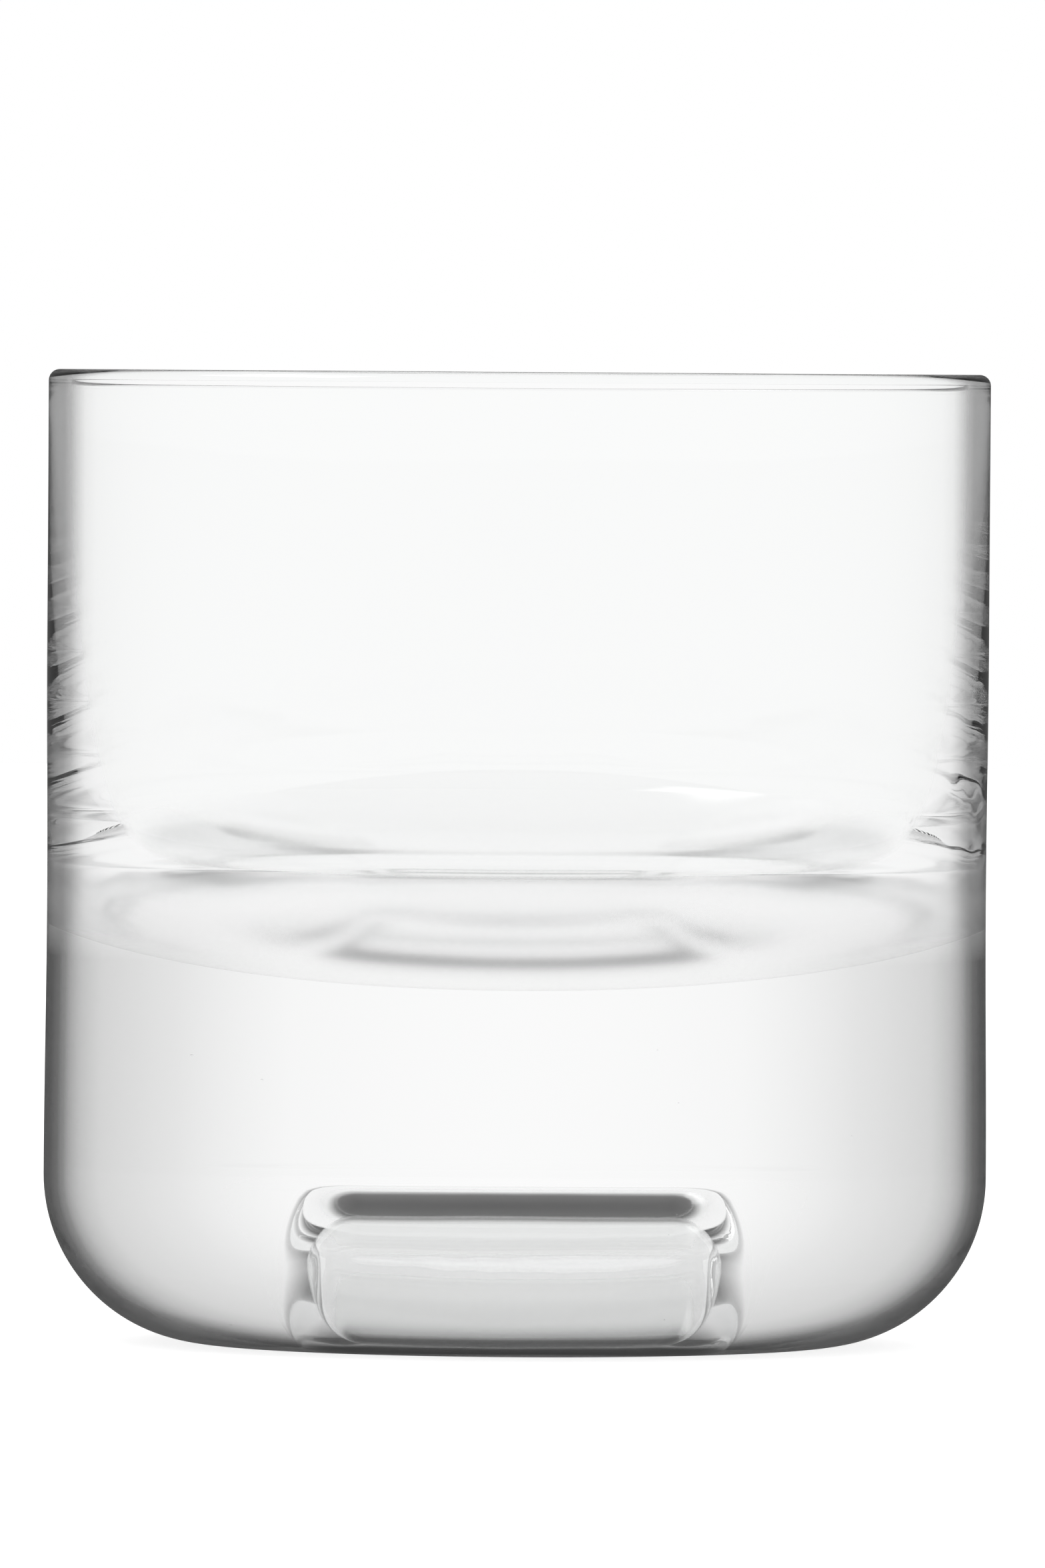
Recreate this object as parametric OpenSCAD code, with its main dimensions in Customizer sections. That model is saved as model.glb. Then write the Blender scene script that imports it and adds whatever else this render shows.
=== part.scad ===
// Whiskey tumbler, hand-blown clear glass.
// One continuous body: thin wall, rounded rim, bowl floor, thick solid foot with a rounded outer corner,
// and a blind square hollow pressed up into the foot from underneath.
// Millimetres, +Z up. The origin is the centre of the face that the glass stands on.

/* [Body] */
// overall height, from the standing face to the rim
glass_h = 92.7; // [80:0.1:105]
// outer diameter of the wall
glass_d = 90; // [75:0.5:100]
// radius of the rounded corner between the wall and the standing face
foot_round = 16; // [6:0.5:20]

/* [Wall and rim] */
// wall thickness just under the rim
rim_wall = 2.1; // [1.2:0.1:4]
// wall thickness at the heel, where the wall turns into the floor
heel_wall = 7.1; // [4:0.1:12]
// how far below the rim the wall starts to thicken
wall_fall = 25.3; // [5:0.1:40]

/* [Bowl floor] */
// solid glass under the middle of the floor, down to the standing face
floor_z = 34; // [22:0.5:45]
// height of the heel above the middle of the floor
heel_rise = 11.5; // [6:0.5:20]
// slope of the bowl at the heel, in degrees from level
heel_slope = 50; // [30:1:75]
// pull of the level part of the floor, from the middle outwards
floor_pull = 21; // [5:0.5:30]
// pull of the slope below the heel
heel_pull_in = 8.9; // [3:0.1:14]
// pull of the slope above the heel
heel_pull_out = 3.4; // [1:0.1:10]

/* [Hollow in the foot] */
// width across the flats of the square hollow, at its ceiling
hollow_w = 34; // [20:0.5:38]
// depth of the hollow, up from the standing face
hollow_h = 16; // [6:0.5:20]
// radius of its four upright corners, at the ceiling
hollow_corner = 5.5; // [2.5:0.5:12]
// radius of the edge between its sides and its ceiling
hollow_edge = 3.5; // [0.5:0.1:4.5]
// how far each side leans out towards the mouth, in degrees
hollow_draft = 12; // [3:1:15]
// radius that eases the edge of its mouth
mouth_round = 1.2; // [0.5:0.1:2]

/* [Quality] */
// facets on a full circle
facets = 96; // [48:12:144]
// steps along each curve of the section
curve_steps = 20; // [10:1:40]

/* [Hidden] */
glass_r = glass_d / 2;
heel = [glass_r - heel_wall, floor_z + heel_rise];
heel_dir = [cos(heel_slope), sin(heel_slope)];
rim_r = rim_wall / 2;
rim_inner = [glass_r - rim_wall, glass_h - rim_r];
mouth_steps = 3;
eps = 0.01;
glass_colour = [0.93, 0.95, 0.95, 0.35];

// one point of a cubic curve, from its two ends and two handles
function cubic(p, t) = pow(1 - t, 3) * p[0] + 3 * pow(1 - t, 2) * t * p[1] + 3 * (1 - t) * t * t * p[2]
    + pow(t, 3) * p[3];
function curve(p, from) = [for (i = [from : curve_steps]) cubic(p, i / curve_steps)];
// points on an arc about c, in the plane of the section
function arc(c, r, a0, a1, steps) = [for (i = [0 : steps]) let (a = a0 + (a1 - a0) * i / steps)
    [c[0] + r * cos(a), c[1] + r * sin(a)]];

// growth of the hollow at height z, from the lean of its sides
function lean(z) = (hollow_h - z) * tan(hollow_draft);
// height and outward reach of the eased mouth edge at step i
function mouth_z(i) = mouth_round * (1 - cos(90 * i / mouth_steps));
function mouth_out(i) = mouth_round * (1 - sin(90 * i / mouth_steps));

floor_curve = [[0, floor_z], [floor_pull, floor_z], heel - heel_pull_in * heel_dir, heel];
wall_curve = [heel, heel + heel_pull_out * heel_dir, rim_inner - [0, wall_fall], rim_inner];

// half of the section through the axis: foot corner, outer wall, rim, inner wall and floor
module section() {
    inner_side = concat(curve(floor_curve, 0), curve(wall_curve, 1));
    corner = arc([glass_r - foot_round, foot_round], foot_round, -90, 0, 24);
    rim = arc([glass_r - rim_r, glass_h - rim_r], rim_r, 0, 165, 11);
    polygon(concat([[0, 0]], corner, rim, [for (i = [len(inner_side) - 1 : -1 : 0]) inner_side[i]]));
}

// one level of the hollow: a thin square with round corners at height z, grown outwards all round
module level(z, grow) {
    corner = hollow_corner + grow / 2;
    at_corners(hollow_w / 2 + grow - corner) translate([0, 0, z]) cylinder(r = corner, h = eps, $fn = 48);
}

// places a copy at each corner of a square
module at_corners(half) {
    for (x = [-1, 1], y = [-1, 1]) translate([x * half, y * half, 0]) children();
}

// profile of a rounded ceiling edge, kept on one side of the corner's axis however large its radius
module corner_edge() {
    intersection() {
        translate([hollow_corner - hollow_edge, 0]) circle(r = hollow_edge, $fn = 24);
        translate([0, -hollow_edge]) square([hollow_corner, 2 * hollow_edge]);
    }
}

// the hollow: a square with round corners that widens towards its mouth, with rounded ceiling edges
module foot_hollow() {
    hull() {
        at_corners(hollow_w / 2 - hollow_corner) translate([0, 0, hollow_h - hollow_edge])
            rotate_extrude($fn = 48) corner_edge();
        level(hollow_h - hollow_edge, lean(hollow_h - hollow_edge));
        level(-eps, lean(0));
    }
    // the eased edge of the mouth, a quarter circle in steps
    for (i = [1 : mouth_steps]) {
        hull() {
            level(mouth_z(i - 1) - eps, lean(mouth_z(i - 1)) + mouth_out(i - 1));
            level(mouth_z(i), lean(mouth_z(i)) + mouth_out(i));
        }
    }
}

module glass_body() {
    color(glass_colour) difference() {
        rotate_extrude($fn = facets) section();
        foot_hollow();
    }
}

glass_body();
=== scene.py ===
"""Whiskey tumbler in hand-blown clear glass, built as one closed skin around the CAD frame."""
import math

import bpy
import numpy as np
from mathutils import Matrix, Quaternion, Vector


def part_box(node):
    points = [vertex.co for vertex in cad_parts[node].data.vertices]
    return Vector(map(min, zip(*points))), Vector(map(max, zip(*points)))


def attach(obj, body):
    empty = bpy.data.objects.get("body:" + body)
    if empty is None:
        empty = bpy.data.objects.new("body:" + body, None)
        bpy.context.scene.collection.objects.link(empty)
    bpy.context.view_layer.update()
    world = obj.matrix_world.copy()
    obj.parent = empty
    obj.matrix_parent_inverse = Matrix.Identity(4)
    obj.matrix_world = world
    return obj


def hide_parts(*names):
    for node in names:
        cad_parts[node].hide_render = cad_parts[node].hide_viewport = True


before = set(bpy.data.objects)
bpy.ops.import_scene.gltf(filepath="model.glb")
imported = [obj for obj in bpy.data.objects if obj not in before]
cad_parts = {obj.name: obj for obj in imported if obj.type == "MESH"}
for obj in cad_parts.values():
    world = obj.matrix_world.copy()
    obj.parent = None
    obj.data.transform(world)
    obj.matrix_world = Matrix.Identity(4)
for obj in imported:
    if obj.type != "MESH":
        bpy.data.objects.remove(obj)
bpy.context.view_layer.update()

MM = 0.001
lo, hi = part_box("glass_body")
GLASS_R = hi[0] / MM  # outer radius of the wall
GLASS_H = hi[2] / MM  # height of the rim

# the section, in millimetres: the same sizes as the CAD
FOOT_ROUND = 16.0
RIM_WALL = 2.1
HEEL_WALL = 7.1
WALL_FALL = 25.3
FLOOR_Z = 34.0
HEEL_RISE = 11.5
HEEL_SLOPE = math.radians(50)
FLOOR_PULL = 21.0
HEEL_PULL_IN = 8.9
HEEL_PULL_OUT = 3.4
HOLLOW_HALF = 17.0
HOLLOW_H = 16.0
HOLLOW_CORNER = 5.5
HOLLOW_EDGE = 3.5
HOLLOW_DRAFT = math.radians(12)
MOUTH_ROUND = 1.2

# surface character, in millimetres
SLOW_WAVE = 0.006  # broad waves up the inside of the wall
WRINKLE = 0.022  # fine wrinkles at the heel
OUTER_DIP = 0.007  # shallow dips of the outside
TOOL_MARK = 0.0015  # marks left in the hollow
WAVES_FROM, WAVES_FULL = 48, 60  # heights between which the slow waves grow
WRINKLE_Z, WRINKLE_SPREAD = 46, 6
SATIN_TOP, SATIN_FADE = 47, 3  # the bowl floor is satin below this height, fading in over this much
SATIN_ROUGHNESS = 0.22
THIN_FROM, SOLID_FROM = 44, 37  # the skin counts as thin wall above the first, as solid foot below the second
FLOOR_R = 3.0  # radius of the floor, in metres

TURNS = 320  # points round the glass
TAU = 2 * math.pi
theta = np.arange(TURNS) * TAU / TURNS


# ---------------------------------------------------------------- section curves
def cubic(p, n):
    """n + 1 points along a cubic curve with two ends and two handles."""
    t = np.linspace(0, 1, n + 1)[:, None]
    p = np.array(p, float)
    return (1 - t) ** 3 * p[0] + 3 * (1 - t) ** 2 * t * p[1] + 3 * (1 - t) * t * t * p[2] + t**3 * p[3]


def inner_section():
    """Radius and height from the middle of the bowl floor, over the heel, up to the rim."""
    heel = np.array([GLASS_R - HEEL_WALL, FLOOR_Z + HEEL_RISE])
    lean = np.array([math.cos(HEEL_SLOPE), math.sin(HEEL_SLOPE)])
    rim = np.array([GLASS_R - RIM_WALL, GLASS_H - RIM_WALL / 2])
    bowl = cubic([(0, FLOOR_Z), (FLOOR_PULL, FLOOR_Z), heel - HEEL_PULL_IN * lean, heel], 56)
    wall = cubic([heel, heel + HEEL_PULL_OUT * lean, rim - np.array([0, WALL_FALL]), rim], 60)
    return np.concatenate([bowl[1:], wall[1:]])


def outer_radius(z):
    """The blown wall draws in a little at the waist and is widest just above the foot."""
    up = np.clip((z - FOOT_ROUND) / (GLASS_H - FOOT_ROUND), 0, 1)
    return GLASS_R - 0.16 * np.sin(math.pi * np.clip(up * 1.5, 0, 1)) ** 2 - 0.06 * np.clip(up, 0, 1)


# ---------------------------------------------------------------- rings
def ring(r, z):
    return np.stack([r * np.cos(theta), r * np.sin(theta), np.full(TURNS, float(z))], 1)


def square_ring(half, corner, z):
    """A square with round corners, with its points at the same angles as a ring's."""
    quarter = np.mod(theta + math.pi / 4, math.pi / 2) - math.pi / 4
    turn = theta - quarter
    a = np.abs(quarter)
    inset = half - corner
    on_side = a <= math.atan2(inset, half)
    reach = inset * (np.cos(a) + np.sin(a))
    far = reach + np.sqrt(np.maximum(reach**2 - 2 * inset**2 + corner**2, 0))
    x = np.where(on_side, half, far * np.cos(a))
    y = np.where(on_side, half * np.tan(a), far * np.sin(a)) * np.sign(quarter + 1e-12)
    c, s = np.cos(turn), np.sin(turn)
    return np.stack([x * c - y * s, x * s + y * c, np.full(TURNS, float(z))], 1)


def hollow_ring(z, out=0.0, inset=0.0):
    grow = (HOLLOW_H - z) * math.tan(HOLLOW_DRAFT)
    return square_ring(
        HOLLOW_HALF + grow + out - inset, HOLLOW_CORNER + grow / 2 + out - inset, z
    )


def build_rings():
    """All rings in order, from the bowl floor over the rim and down to the hollow's ceiling."""
    rings, zones = [], []

    def add(points, zone):
        rings.append(points)
        zones.append(zone)

    inner = inner_section()
    for r, z in inner:
        add(ring(r, z), "inner")
    half = RIM_WALL / 2
    top_r = outer_radius(GLASS_H)
    for k in range(1, 18):
        a = math.pi * k / 18
        add(ring(top_r - half - half * math.cos(a), GLASS_H - half + half * math.sin(a)), "rim")
    for z in np.linspace(GLASS_H - half, FOOT_ROUND, 34):
        add(ring(outer_radius(z), z), "outer")
    for k in range(1, 37):
        a = math.pi / 2 * k / 36
        add(
            ring(GLASS_R - FOOT_ROUND + FOOT_ROUND * math.cos(a), FOOT_ROUND - FOOT_ROUND * math.sin(a)),
            "outer",
        )
    foot, mouth = rings[-1], hollow_ring(0, out=MOUTH_ROUND)
    for t in np.linspace(0, 1, 9)[1:]:
        add(foot * (1 - t) + mouth * t, "foot")
    for k in range(1, 8):
        a = math.pi / 2 * k / 7
        add(hollow_ring(MOUTH_ROUND * (1 - math.cos(a)), out=MOUTH_ROUND * (1 - math.sin(a))), "hollow")
    for z in np.linspace(MOUTH_ROUND, HOLLOW_H - HOLLOW_EDGE, 26)[1:]:
        add(hollow_ring(z), "hollow")
    for k in range(1, 13):
        a = math.pi / 2 * k / 12
        z = HOLLOW_H - HOLLOW_EDGE + HOLLOW_EDGE * math.sin(a)
        add(hollow_ring(z, inset=HOLLOW_EDGE * (1 - math.cos(a))), "hollow")
    ceiling = rings[-1]
    for t in np.linspace(1, 0, 15)[1:-1]:
        add(ceiling * (t, t, 1), "hollow")
    return np.array(rings), np.array(zones)


# ---------------------------------------------------------------- hand-made unevenness
def waves(seed, along, turns, length, count):
    """Smooth random waves round the glass and along its surface, about -1 to 1."""
    rng = np.random.default_rng(seed)
    total = np.zeros((len(along), TURNS))
    for _ in range(count):
        m = rng.integers(turns[0], turns[1] + 1)
        k = TAU / rng.uniform(*length) * rng.choice([-1, 1])
        total += np.cos(m * theta[None, :] + k * along[:, None] + rng.uniform(0, TAU))
    return total / math.sqrt(count)


def hump(x, middle, width):
    return np.exp(-(((x - middle) / width) ** 2))


def unevenness(rings, zones):
    """How far each point moves along its normal, in millimetres, outwards from the glass."""
    step = np.linalg.norm(np.diff(rings.mean(axis=1), axis=0), axis=1)
    step += np.abs(np.diff(np.linalg.norm(rings[:, 0, :2], axis=1)))
    along = np.concatenate([[0], np.cumsum(step)])
    z = rings[:, :, 2].mean(axis=1)
    r = np.linalg.norm(rings[:, 0, :2], axis=1)
    inner, outer, hollow = (zones == name for name in ("inner", "outer", "hollow"))

    move = np.zeros(rings.shape[:2])
    # the blown inside: slow waves up the wall, and fine wrinkles at two sides where it turns into the heel
    slow = waves(3, along, (2, 7), (26, 70), 12)
    wrinkle = waves(5, along, (14, 46), (3.2, 9), 26) * np.clip(waves(8, along, (1, 4), (16, 40), 6), 0, 2)
    calm = np.clip(r / 20, 0, 1) * np.clip((GLASS_H - 2 - z) / 20, 0, 1)
    sides = np.clip((np.abs(np.cos(theta)) - 0.8) / 0.15, 0, 1)
    grown = np.clip((z - WAVES_FROM) / (WAVES_FULL - WAVES_FROM), 0, 1)
    move += (inner * calm * SLOW_WAVE * grown)[:, None] * slow
    move += (inner * WRINKLE * hump(z, WRINKLE_Z, WRINKLE_SPREAD))[:, None] * wrinkle * sides[None, :]
    # the outside was turned against a smooth mould: it is truer, and only ever dips inwards
    dip = waves(13, along, (1, 6), (30, 90), 10) - 3
    clear = np.clip((z - 0.5) / 6, 0, 1) * np.clip((GLASS_H - z - 1) / 8, 0, 1)
    move += (outer * OUTER_DIP * clear)[:, None] * dip
    # the hollow keeps the marks of the tool that pressed it
    pressed = waves(21, along, (3, 18), (4, 14), 20)
    depth = np.clip(z / 3, 0, 1) * np.clip(r / 8, 0, 1)
    move += (hollow * depth * TOOL_MARK)[:, None] * pressed
    return move


def grid_normals(rings):
    """Normals of the ring grid, pointing out of the glass."""
    around = np.roll(rings, -1, axis=1) - np.roll(rings, 1, axis=1)
    down = np.gradient(rings, axis=0)
    n = np.cross(down, around)
    return n / np.maximum(np.linalg.norm(n, axis=2, keepdims=True), 1e-9)


def seeds():
    """A few tiny bubbles caught in the glass, as small closed spheres with inward faces."""
    rng = np.random.default_rng(41)
    found = []
    for _ in range(5):
        a, z = rng.uniform(0, TAU), rng.uniform(20, 31)
        found.append((rng.uniform(6, 36), a, z, rng.uniform(0.05, 0.09)))
    return [(r * math.cos(a), r * math.sin(a), z, size) for r, a, z, size in found]


def bubble(x, y, z, r, around=12, rows=6):
    points = [(x, y, z + r)]
    for i in range(1, rows):
        p = math.pi * i / rows
        for k in range(around):
            q = TAU * k / around
            across = r * math.sin(p)
            points.append((x + across * math.cos(q), y + across * math.sin(q), z + r * math.cos(p)))
    points.append((x, y, z - r))
    faces = [(0, 1 + (k + 1) % around, 1 + k) for k in range(around)]
    for i in range(rows - 2):
        for k in range(around):
            a, b = 1 + i * around + k, 1 + i * around + (k + 1) % around
            faces.append((a, b, b + around, a + around))
    last = 1 + (rows - 2) * around
    faces += [(len(points) - 1, last + k, last + (k + 1) % around) for k in range(around)]
    return points, faces


# ---------------------------------------------------------------- the glass
def build_glass():
    rings, zones = build_rings()
    normals = grid_normals(rings)
    flat = (zones == "foot") | (zones == "rim")
    move = unevenness(rings, zones)
    move[flat] = 0
    rings = rings + normals * move[:, :, None]
    rows = len(rings)

    verts = rings.reshape(-1, 3).tolist()
    verts += [(0, 0, FLOOR_Z), (0, 0, HOLLOW_H)]
    k = np.arange(TURNS)
    nxt = (k + 1) % TURNS
    faces = []
    for i in range(rows - 1):
        a, b = i * TURNS, (i + 1) * TURNS
        faces.append(np.stack([a + k, b + k, b + nxt, a + nxt], 1))
    faces = np.concatenate(faces).tolist()
    top, under, end = rows * TURNS, rows * TURNS + 1, (rows - 1) * TURNS
    faces += [(top, int(a), int(b)) for a, b in zip(k, nxt)]
    faces += [(under, end + int(b), end + int(a)) for a, b in zip(k, nxt)]

    for seed in seeds():
        points, polys = bubble(*seed)
        base = len(verts)
        verts += points
        faces += [tuple(base + i for i in poly) for poly in polys]

    mesh = bpy.data.meshes.new("glass_skin")
    mesh.from_pydata((np.array(verts) * MM).tolist(), [], faces)
    mesh.update()
    mesh.polygons.foreach_set("use_smooth", [True] * len(mesh.polygons))

    # where the skin is the outside, and where it is the satin floor of the bowl
    level = rings[:, :, 2].mean(axis=1)
    satin = (zones == "inner") * np.clip((SATIN_TOP - level) / SATIN_FADE, 0, 1)
    for name, share in (("outer_skin", np.isin(zones, ["outer", "rim"])), ("bowl_floor", satin)):
        values = np.zeros(len(verts))
        values[: rows * TURNS] = np.repeat(share.astype(float), TURNS)
        values[top] = float(name == "bowl_floor")
        mesh.attributes.new(name, "FLOAT", "POINT").data.foreach_set("value", values)

    piece = bpy.data.objects.new("tumbler_glass", mesh)
    bpy.context.scene.collection.objects.link(piece)
    return piece


# ---------------------------------------------------------------- node helpers
class Nodes:
    """Short calls for building a node tree."""

    def __init__(self, tree):
        self.tree = tree

    def add(self, kind, inputs=(), **settings):
        node = self.tree.nodes.new(kind)
        for name, value in settings.items():
            setattr(node, name, value)
        for socket, value in dict(inputs).items():
            if isinstance(value, bpy.types.NodeSocket):
                self.tree.links.new(value, node.inputs[socket])
            else:
                node.inputs[socket].default_value = value
        return node

    def math(self, operation, *values):
        return self.add("ShaderNodeMath", dict(enumerate(values)), operation=operation).outputs[0]

    def ramp(self, factor, stops, smooth=False):
        node = self.add("ShaderNodeValToRGB", {0: factor})
        band = node.color_ramp
        band.interpolation = "B_SPLINE" if smooth else "LINEAR"
        while len(band.elements) > 1:
            band.elements.remove(band.elements[-1])
        for i, (place, value) in enumerate(stops):
            stop = band.elements[0] if i == 0 else band.elements.new(place)
            stop.position = place
            stop.color = (*value, 1) if isinstance(value, tuple) else (value, value, value, 1)
        return node.outputs[0]


# painted shade on the outer skin: its grey, standing in for the dark surroundings seen at its edges, against
# 1 - cosine of the angle it is seen at, for the thin wall and the solid foot
WALL_PAINTED_SHADE_STOPS = [(0.0, 1.0), (0.56, 1.0), (0.61, 0.9), (0.65, 0.6), (0.69, 0.33), (0.74, 0.2), (0.83, 0.24),
              (1.0, 0.24)]
FOOT_PAINTED_SHADE_STOPS = [(0.0, 1.0), (0.12, 0.94), (0.31, 0.67), (0.41, 0.59), (0.53, 0.52), (0.615, 0.37), (0.67, 0.22),
              (0.714, 0.09), (0.766, 0.03), (0.84, 0.01), (1.0, 0.005)]


def glass_material():
    mat = bpy.data.materials.new("clear_glass")
    mat.use_nodes = True
    tree = mat.node_tree
    n = Nodes(tree)
    bsdf = tree.nodes["Principled BSDF"]
    bsdf.inputs["IOR"].default_value = 1.5
    bsdf.inputs["Transmission Weight"].default_value = 1.0

    # painted shade: the outer skin and rim are painted grey where they are seen at a slant, in place of the
    # dark surroundings the glass edges would show, the solid foot sooner than the thin wall; elsewhere the
    # glass keeps its own faint tint
    facing = n.add("ShaderNodeLayerWeight", {"Blend": 0.5}).outputs["Facing"]
    outer = n.add("ShaderNodeAttribute", attribute_name="outer_skin").outputs["Fac"]
    inside = n.add("ShaderNodeNewGeometry").outputs["Backfacing"]
    share = n.math("MULTIPLY", outer, n.math("SUBTRACT", 1.0, inside))
    tint_and_painted_shade = n.add("ShaderNodeMix", {"Factor": share}, data_type="RGBA")
    tint_and_painted_shade.inputs[6].default_value = (0.995, 1.0, 0.998, 1)
    place = n.add("ShaderNodeTexCoord").outputs["Object"]
    height = n.add("ShaderNodeSeparateXYZ", {0: place}).outputs[2]
    span = {0: height, 1: THIN_FROM * MM, 2: SOLID_FROM * MM, 3: 0.0, 4: 1.0}
    thick = n.add("ShaderNodeMapRange", span).outputs[0]
    # painted edge shade: the grey ramps by viewing angle, blended from the thin wall to the solid foot
    edge = n.add("ShaderNodeMix", {"Factor": thick}, data_type="RGBA")
    tree.links.new(n.ramp(facing, WALL_PAINTED_SHADE_STOPS), edge.inputs[6])
    tree.links.new(n.ramp(facing, FOOT_PAINTED_SHADE_STOPS), edge.inputs[7])
    tree.links.new(edge.outputs[2], tint_and_painted_shade.inputs[7])
    tree.links.new(tint_and_painted_shade.outputs[2], bsdf.inputs["Base Color"])

    # faint scuffs on the ring it stands on, a satin bowl floor, and the last trace of surface waviness
    scuff = n.add("ShaderNodeTexNoise", {"Vector": place, "Scale": 900.0, "Detail": 6.0}).outputs["Fac"]
    worn = n.math("LESS_THAN", height, 0.00004)
    rough = n.math("MULTIPLY", worn, n.math("MULTIPLY", scuff, 0.35))
    bowl = n.add("ShaderNodeAttribute", attribute_name="bowl_floor").outputs["Fac"]
    rough = n.math("ADD", rough, n.math("MULTIPLY", bowl, SATIN_ROUGHNESS))
    tree.links.new(rough, bsdf.inputs["Roughness"])
    ripple = n.add("ShaderNodeTexNoise", {"Vector": place, "Scale": 70.0, "Detail": 1.0}).outputs["Fac"]
    bump = n.add("ShaderNodeBump", {"Height": ripple, "Strength": 0.2, "Distance": 0.00003})
    tree.links.new(bump.outputs[0], bsdf.inputs["Normal"])
    return mat


# ---------------------------------------------------------------- floor, light and camera
def studio_world():
    world = bpy.data.worlds.new("studio")
    bpy.context.scene.world = world
    world.use_nodes = True
    tree = world.node_tree
    tree.nodes.clear()
    n = Nodes(tree)
    way = n.add("ShaderNodeTexCoord").outputs["Generated"]
    axes = n.add("ShaderNodeSeparateXYZ", {0: way})
    up = n.math("ADD", n.math("DIVIDE", n.math("ARCSINE", axes.outputs[2]), math.pi), 0.5)
    side = n.math("ARCTAN2", axes.outputs[0], axes.outputs[1])  # 0 behind the glass, + to the right
    side = n.math("ADD", n.math("DIVIDE", side, TAU), 0.5)

    def at(elevation):
        return 0.5 + elevation / 180

    def toward(azimuth):
        return 0.5 + azimuth / 360

    # the light differs by ray: plain white in direct view, and two settings for the glass
    # what shows through the glass: a pale sweep all round, dim overhead
    through = n.ramp(up, [(0, 1.0), (at(36), 1.0), (at(60), 0.16), (1, 0.1)])
    # what mirrors on it: a dim room with one long soft lamp high on one side
    lamp_up = n.ramp(up, [(0, 0.0), (at(38), 0.0), (at(42), 1.0), (at(58), 1.0), (at(62), 0.0), (1, 0.0)])
    lamp_side = n.ramp(side, [(0, 0.0), (toward(-130), 0.0), (toward(-122), 1.0), (toward(-78), 1.0),
                              (toward(-70), 0.0), (1, 0.0)])
    room = n.math("ADD", n.math("MULTIPLY", n.math("MULTIPLY", lamp_up, lamp_side), 3.0), 0.1)

    ray = n.add("ShaderNodeLightPath")
    light = n.add("ShaderNodeMix", {0: ray.outputs["Is Transmission Ray"], 2: room, 3: through}).outputs[0]
    light = n.add("ShaderNodeMix", {0: ray.outputs["Is Diffuse Ray"], 2: light, 3: 1.4}).outputs[0]
    light = n.add("ShaderNodeMix", {0: ray.outputs["Is Camera Ray"], 2: light, 3: 1.0}).outputs[0]
    back = n.add("ShaderNodeBackground", {"Color": light})
    out = n.add("ShaderNodeOutputWorld")
    tree.links.new(back.outputs[0], out.inputs[0])


def floor():
    edge = [(FLOOR_R * math.cos(a), FLOOR_R * math.sin(a), 0) for a in theta]
    mesh = bpy.data.meshes.new("floor")
    mesh.from_pydata(edge, [], [tuple(range(TURNS))])
    ground = bpy.data.objects.new("floor", mesh)
    bpy.context.scene.collection.objects.link(ground)
    ground.location.z = -0.00002
    ground.visible_glossy = False
    mat = bpy.data.materials.new("pale_floor")
    mat.use_nodes = True
    tree = mat.node_tree
    n = Nodes(tree)
    bsdf = tree.nodes["Principled BSDF"]
    bsdf.inputs["Roughness"].default_value = 1.0
    bsdf.inputs["Specular IOR Level"].default_value = 0.0
    bsdf.inputs["Emission Color"].default_value = (1, 1, 1, 1)
    # a pale floor lit evenly; through the glass it shows as bright as the sweep behind it
    seen_through = n.add("ShaderNodeLightPath").outputs["Is Transmission Ray"]
    lit = n.math("ADD", 0.8, n.math("MULTIPLY", 0.19, seen_through))
    tree.links.new(lit, bsdf.inputs["Emission Strength"])
    pale = n.add("ShaderNodeMix", {0: seen_through}, data_type="RGBA")
    pale.inputs[6].default_value = (0.36, 0.36, 0.36, 1)
    pale.inputs[7].default_value = (0, 0, 0, 1)
    tree.links.new(pale.outputs[2], bsdf.inputs["Base Color"])
    mesh.materials.append(mat)


def camera():
    data = bpy.data.cameras.new("camera")
    cam = bpy.data.objects.new("camera", data)
    scene = bpy.context.scene
    scene.collection.objects.link(cam)
    scene.camera = cam
    # level with the rim, so that it shows edge on, with the glass low in the frame
    cam.location = (0, -2.05, GLASS_H * MM)
    target = Vector((0.0005, 0, GLASS_H * MM * 0.576))
    look = target - cam.location
    cam.rotation_mode = "QUATERNION"
    cam.rotation_quaternion = look.to_track_quat("-Z", "Y") @ Quaternion((0, 0, 1), 0.0066)
    data.sensor_width = 36
    data.lens = data.sensor_width * look.length / (GLASS_H * MM * 1.614)
    data.clip_start = 0.1
    data.clip_end = 50


glass = build_glass()
glass.data.materials.append(glass_material())
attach(glass, "root")
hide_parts("glass_body")

studio_world()
floor()
camera()

scene = bpy.context.scene
scene.view_settings.view_transform = "Standard"
scene.cycles.max_bounces = 32
scene.cycles.transmission_bounces = 32
scene.cycles.glossy_bounces = 24
scene.cycles.diffuse_bounces = 4
